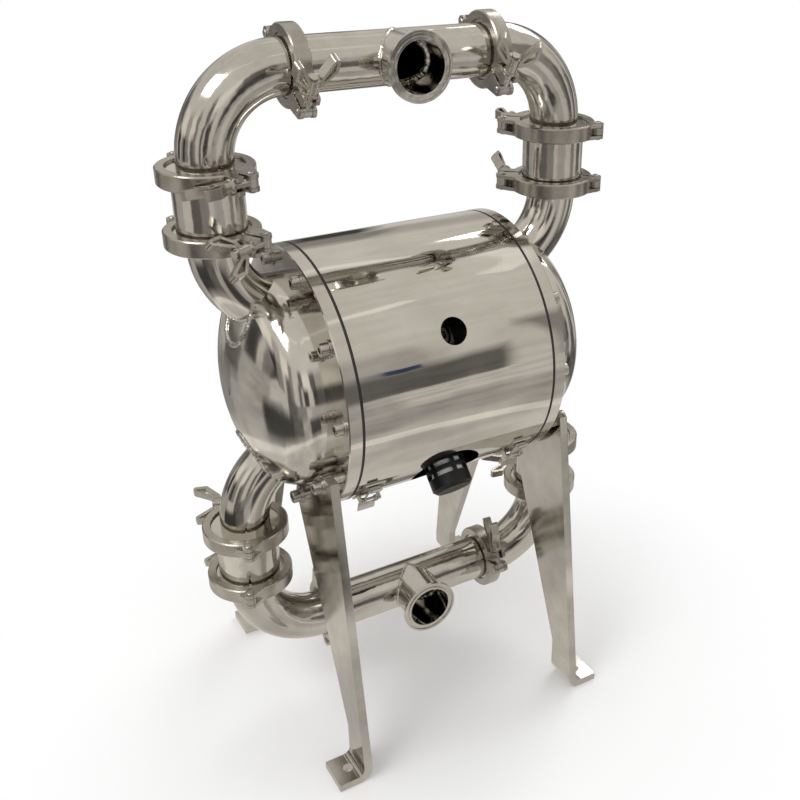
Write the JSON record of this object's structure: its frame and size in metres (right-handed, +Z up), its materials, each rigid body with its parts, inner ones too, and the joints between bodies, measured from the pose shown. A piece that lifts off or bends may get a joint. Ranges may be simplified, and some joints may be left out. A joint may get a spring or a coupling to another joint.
{
  "type": "air operated diaphragm pump",
  "caption": "Sanitary stainless air operated double diaphragm pump with clamped pipework, ball check valves, polished shroud and plate legs.",
  "frame": {"origin": "on the floor, midway between the four foot holes, below the middle of the pump", "axes": "+X along the pump axis to the viewer's right when facing the ports, +Y away from the ports, +Z up"},
  "size_m": [0.4574, 0.326, 0.745],
  "materials": {
    "mirror_steel": "mirror polished stainless steel",
    "polished_tube": "hand polished stainless tube with faint draw lines",
    "cast_steel": "cast stainless clamp, tumbled and polished",
    "satin_steel": "satin stainless plate",
    "screw_steel": "plain stainless fasteners",
    "aluminium": "machined aluminium",
    "bronze": "sintered bronze",
    "black_rubber": "black rubber",
    "ptfe": "white fluoropolymer",
    "black_plastic": "black moulded plastic",
    "felt": "light grey porous sleeve"
  },
  "bodies": {
    "pump_frame": {"air_inlet_fitting": "screw_steel", "air_valve_sleeve": "screw_steel", "centre_block": "aluminium", "chamber_screws": "screw_steel", "clamp_halves": "cast_steel", "clamp_pins": "cast_steel", "clamp_swing_bolts": "cast_steel", "ferrule_gaskets": "black_rubber", "front_left_leg": "satin_steel", "front_right_leg": "satin_steel", "head_screw_washers": "screw_steel", "head_screws": "screw_steel", "inlet_manifold": "polished_tube", "latch_plates": "satin_steel", "left_air_chamber": "aluminium", "left_diaphragm": "black_rubber", "left_head": "mirror_steel", "leg_spacers": "screw_steel", "lower_left_elbow": "polished_tube", "lower_left_valve_housing": "polished_tube", "lower_right_elbow": "polished_tube", "lower_right_valve_housing": "polished_tube", "muffler_body": "black_plastic", "muffler_element": "felt", "outlet_manifold": "polished_tube", "rear_left_leg": "satin_steel", "rear_right_leg": "satin_steel", "right_air_chamber": "aluminium", "right_diaphragm": "black_rubber", "right_head": "mirror_steel", "shaft_bushes": "bronze", "shaft_seals": "black_rubber", "shroud": "mirror_steel", "upper_left_elbow": "polished_tube", "upper_left_valve_housing": "polished_tube", "upper_right_elbow": "polished_tube", "upper_right_valve_housing": "polished_tube", "valve_seats": "ptfe"},
    "diaphragm_assembly": {"diaphragm_shaft": "screw_steel", "inner_diaphragm_plates": "aluminium", "outer_diaphragm_plates": "mirror_steel"},
    "air_valve_spool": {"air_valve_spool": "aluminium"},
    "lower_left_valve_ball": {"lower_left_valve_ball": "ptfe"},
    "lower_right_valve_ball": {"lower_right_valve_ball": "ptfe"},
    "upper_left_valve_ball": {"upper_left_valve_ball": "ptfe"},
    "upper_right_valve_ball": {"upper_right_valve_ball": "ptfe"},
    "left_latch_lever": {"left_latch_lever": "satin_steel"},
    "right_latch_lever": {"right_latch_lever": "satin_steel"},
    "inlet_left_wing_nut": {"inlet_left_wing_nut": "cast_steel"},
    "inlet_right_wing_nut": {"inlet_right_wing_nut": "cast_steel"},
    "lower_left_inner_wing_nut": {"lower_left_inner_wing_nut": "cast_steel"},
    "lower_left_outer_wing_nut": {"lower_left_outer_wing_nut": "cast_steel"},
    "lower_right_inner_wing_nut": {"lower_right_inner_wing_nut": "cast_steel"},
    "lower_right_outer_wing_nut": {"lower_right_outer_wing_nut": "cast_steel"},
    "outlet_left_wing_nut": {"outlet_left_wing_nut": "cast_steel"},
    "outlet_right_wing_nut": {"outlet_right_wing_nut": "cast_steel"},
    "upper_left_inner_wing_nut": {"upper_left_inner_wing_nut": "cast_steel"},
    "upper_left_outer_wing_nut": {"upper_left_outer_wing_nut": "cast_steel"},
    "upper_right_inner_wing_nut": {"upper_right_inner_wing_nut": "cast_steel"},
    "upper_right_outer_wing_nut": {"upper_right_outer_wing_nut": "cast_steel"}
  },
  "joints": [
    {"name": "diaphragm_stroke", "type": "slide", "parent": "pump_frame", "child": "diaphragm_assembly", "axis": [1, 0, 0], "range_m": [-0.012, 0.012], "deforming": ["left_diaphragm", "right_diaphragm"]},
    {"name": "air_valve_shift", "type": "slide", "parent": "pump_frame", "child": "air_valve_spool", "axis": [1, 0, 0], "range_m": [-0.008, 0.008]},
    {"name": "lower_left_ball_lift", "type": "slide", "parent": "pump_frame", "child": "lower_left_valve_ball", "axis": [0, 0, 1], "range_m": [0, 0.0095]},
    {"name": "lower_right_ball_lift", "type": "slide", "parent": "pump_frame", "child": "lower_right_valve_ball", "axis": [0, 0, 1], "range_m": [0, 0.0095]},
    {"name": "upper_left_ball_lift", "type": "slide", "parent": "pump_frame", "child": "upper_left_valve_ball", "axis": [0, 0, 1], "range_m": [0, 0.0095]},
    {"name": "upper_right_ball_lift", "type": "slide", "parent": "pump_frame", "child": "upper_right_valve_ball", "axis": [0, 0, 1], "range_m": [0, 0.0095]},
    {"name": "left_latch_open", "type": "hinge", "parent": "pump_frame", "child": "left_latch_lever", "pos_m": [-0.085, -0.09376, 0.30055], "axis": [-1, 0, 0], "range_deg": [0, 110]},
    {"name": "right_latch_open", "type": "hinge", "parent": "pump_frame", "child": "right_latch_lever", "pos_m": [0.085, -0.09376, 0.30055], "axis": [-1, 0, 0], "range_deg": [0, 110]},
    {"name": "upper_left_outer_nut_turn", "type": "hinge", "parent": "pump_frame", "child": "upper_left_outer_wing_nut", "pos_m": [-0.18027, -0.0534, 0.623], "axis": [-0.9511, -0.309, 0], "continuous": true},
    {"name": "upper_left_inner_nut_turn", "type": "hinge", "parent": "pump_frame", "child": "upper_left_inner_wing_nut", "pos_m": [-0.16927, -0.05125, 0.565], "axis": [-0.866, -0.5, 0], "continuous": true},
    {"name": "upper_right_outer_nut_turn", "type": "hinge", "parent": "pump_frame", "child": "upper_right_outer_wing_nut", "pos_m": [0.15734, 0.04592, 0.623], "axis": [0.7193, 0.6947, 0], "continuous": true},
    {"name": "upper_right_inner_nut_turn", "type": "hinge", "parent": "pump_frame", "child": "upper_right_inner_wing_nut", "pos_m": [0.15121, 0.04162, 0.565], "axis": [0.6157, 0.788, 0], "continuous": true},
    {"name": "lower_left_inner_nut_turn", "type": "hinge", "parent": "pump_frame", "child": "lower_left_inner_wing_nut", "pos_m": [-0.18213, 0.05353, 0.245], "axis": [-0.9613, 0.2756, 0], "continuous": true},
    {"name": "lower_left_outer_nut_turn", "type": "hinge", "parent": "pump_frame", "child": "lower_left_outer_wing_nut", "pos_m": [-0.17841, 0.0532, 0.187], "axis": [-0.9397, 0.342, 0], "continuous": true},
    {"name": "lower_right_inner_nut_turn", "type": "hinge", "parent": "pump_frame", "child": "lower_right_inner_wing_nut", "pos_m": [0.18226, 0.05354, 0.245], "axis": [-0.9848, 0.1736, 0], "continuous": true},
    {"name": "lower_right_outer_nut_turn", "type": "hinge", "parent": "pump_frame", "child": "lower_right_outer_wing_nut", "pos_m": [0.18226, 0.05354, 0.187], "axis": [-0.9848, 0.1736, 0], "continuous": true},
    {"name": "outlet_left_nut_turn", "type": "hinge", "parent": "pump_frame", "child": "outlet_left_wing_nut", "pos_m": [-0.101, -0.04415, 0.69173], "axis": [0, -0.5736, 0.8192], "continuous": true},
    {"name": "outlet_right_nut_turn", "type": "hinge", "parent": "pump_frame", "child": "outlet_right_wing_nut", "pos_m": [0.101, -0.04494, 0.69407], "axis": [0, -0.5299, 0.848], "continuous": true},
    {"name": "inlet_left_nut_turn", "type": "hinge", "parent": "pump_frame", "child": "inlet_left_wing_nut", "pos_m": [-0.101, -0.00636, 0.14862], "axis": [0, -0.9925, 0.1219], "continuous": true},
    {"name": "inlet_right_nut_turn", "type": "hinge", "parent": "pump_frame", "child": "inlet_right_wing_nut", "pos_m": [0.101, -0.03669, 0.13147], "axis": [0, 0.4067, 0.9135], "continuous": true}
  ]
}
